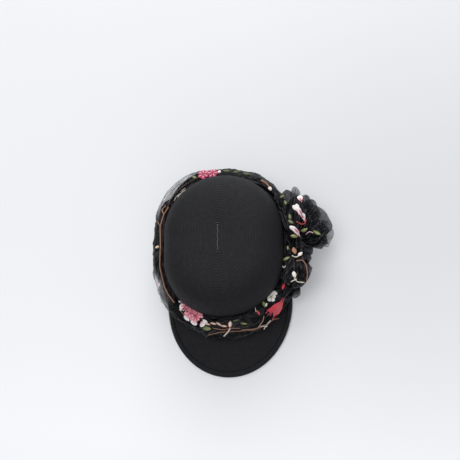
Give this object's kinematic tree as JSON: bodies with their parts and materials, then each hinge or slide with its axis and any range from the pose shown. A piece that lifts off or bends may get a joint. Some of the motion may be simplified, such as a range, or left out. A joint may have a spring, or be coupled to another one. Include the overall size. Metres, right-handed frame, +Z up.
{
  "type": "visor cap",
  "caption": "Sewn straw braid cap with an oval domed crown, a large front visor and an embroidered tulle scarf wound round it and tied in a side bow.",
  "frame": {"origin": "centre of the head opening, on the plane that the rim's back and sides and the visor's edge stand on", "axes": "+Z up through the crown, -Y forward over the visor, +X towards the wearer's left, where the bow is"},
  "size_m": [0.2626, 0.3031, 0.106],
  "materials": {
    "straw_braid": "satin",
    "interlining": "matte",
    "edge_wire": "satin",
    "grosgrain": "matte",
    "label_cloth": "satin",
    "tulle": "satin",
    "black_thread": "matte",
    "pink_thread": "satin",
    "red_thread": "satin",
    "cream_thread": "satin",
    "green_thread": "satin",
    "brown_thread": "satin"
  },
  "bodies": {
    "root": {"crown_braid": "straw_braid", "rim_edge_braid": "straw_braid", "visor_top_braid": "straw_braid", "visor_interlining": "interlining", "visor_under_braid": "straw_braid", "visor_edge_wire": "edge_wire", "visor_edge_braid": "straw_braid", "sweatband": "grosgrain", "sweatband_tab": "grosgrain", "blank_label": "label_cloth", "scarf_lower_turn": "tulle", "scarf_upper_turn": "tulle", "tack_stitches": "black_thread", "bow_centre_wrap": "tulle", "bow_upper_loop": "tulle", "bow_inner_loop": "tulle", "bow_lower_loop": "tulle", "bow_upper_end": "tulle", "bow_lower_end": "tulle", "rear_peony": "pink_thread", "front_peony": "pink_thread", "red_flower": "red_thread", "white_blossoms": "cream_thread", "bow_flowers": "pink_thread", "embroidered_leaves": "green_thread", "embroidered_buds": "cream_thread", "embroidered_branches": "brown_thread"}
  },
  "joints": []
}
